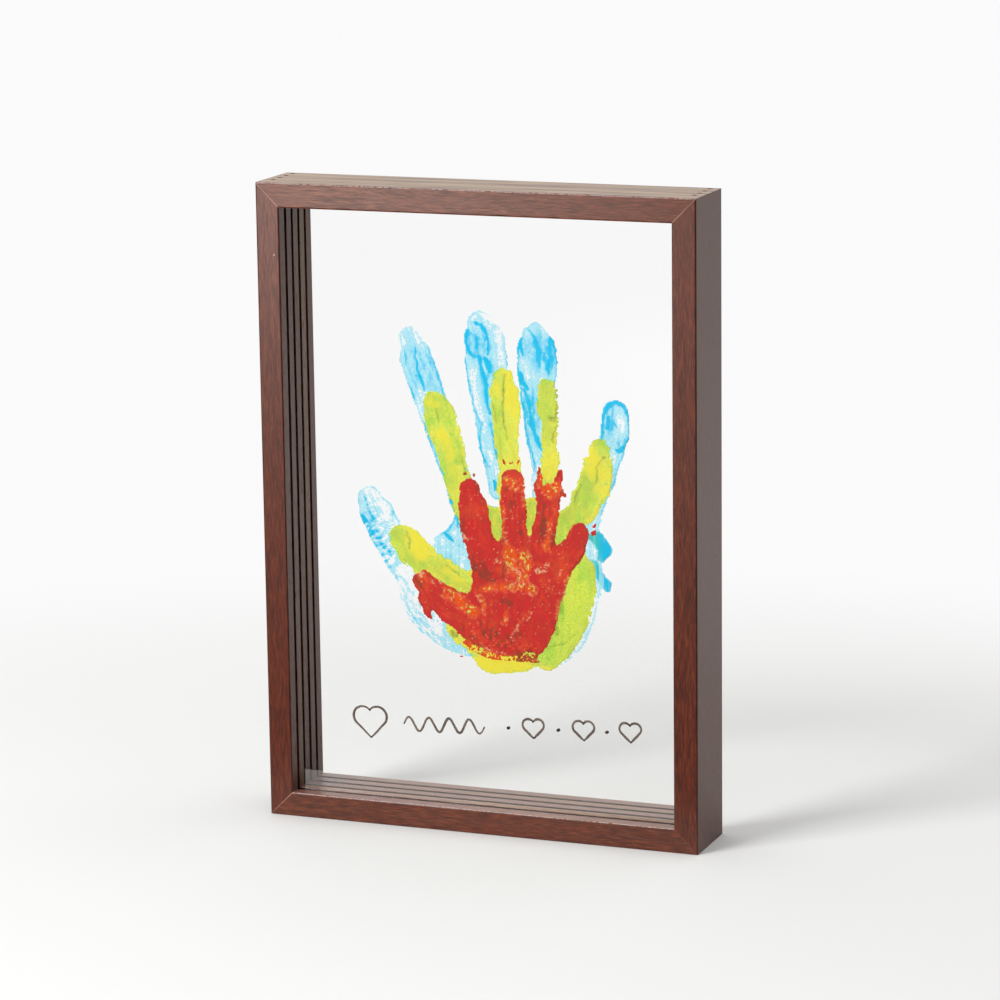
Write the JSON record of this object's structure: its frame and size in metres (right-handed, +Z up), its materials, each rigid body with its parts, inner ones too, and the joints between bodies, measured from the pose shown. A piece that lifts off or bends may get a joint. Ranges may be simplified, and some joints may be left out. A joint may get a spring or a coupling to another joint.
{
  "type": "layered handprint frame",
  "caption": "Deep standing frame of mitred dark-wood members whose grooves hold clear sheets with nested handprints; the top rail lifts off.",
  "frame": {"origin": "middle of the footprint, on the surface the frame stands on", "axes": "+X to the viewer's right, +Y from the front face to the back, +Z up"},
  "size_m": [0.222, 0.0384, 0.314],
  "materials": {
    "dark_wood": "dark reddish-brown wood-grain film with a satin lacquer",
    "steel": "plain drawn wire",
    "clear_acrylic": "clear cast acrylic sheet with polished faces",
    "red_paint": "dried finger paint with smears and bare flecks",
    "yellow_paint": "dried finger paint, lime green where it lies over the blue print",
    "blue_paint": "thin streaky finger paint",
    "marker_ink": "dried brown-black marker"
  },
  "bodies": {
    "frame": {"left_stile": "dark_wood", "right_stile": "dark_wood", "bottom_rail": "dark_wood", "left_bottom_brads": "steel", "right_bottom_brads": "steel"},
    "top_rail": {"top_rail": "dark_wood", "left_top_pins": "steel", "right_top_pins": "steel"},
    "front_sheet": {"front_sheet": "clear_acrylic", "marker_ornament": "marker_ink"},
    "second_sheet": {"second_sheet": "clear_acrylic", "child_print": "red_paint"},
    "third_sheet": {"third_sheet": "clear_acrylic", "middle_print": "yellow_paint"},
    "rear_sheet": {"rear_sheet": "clear_acrylic", "large_print": "blue_paint"}
  },
  "joints": [
    {"name": "top_rail_lift", "type": "slide", "parent": "frame", "child": "top_rail", "axis": [0, 0, 1], "range_m": [0, 0.35]},
    {"name": "front_sheet_lift", "type": "slide", "parent": "frame", "child": "front_sheet", "axis": [0, 0, 1], "range_m": [0, 0.315]},
    {"name": "second_sheet_lift", "type": "slide", "parent": "frame", "child": "second_sheet", "axis": [0, 0, 1], "range_m": [0, 0.315]},
    {"name": "third_sheet_lift", "type": "slide", "parent": "frame", "child": "third_sheet", "axis": [0, 0, 1], "range_m": [0, 0.315]},
    {"name": "rear_sheet_lift", "type": "slide", "parent": "frame", "child": "rear_sheet", "axis": [0, 0, 1], "range_m": [0, 0.315]}
  ],
  "couplings": [
    {"joint": "front_sheet_lift", "follows": "top_rail_lift", "ratio": 0.9},
    {"joint": "second_sheet_lift", "follows": "top_rail_lift", "ratio": 0.9},
    {"joint": "third_sheet_lift", "follows": "top_rail_lift", "ratio": 0.9},
    {"joint": "rear_sheet_lift", "follows": "top_rail_lift", "ratio": 0.9}
  ]
}
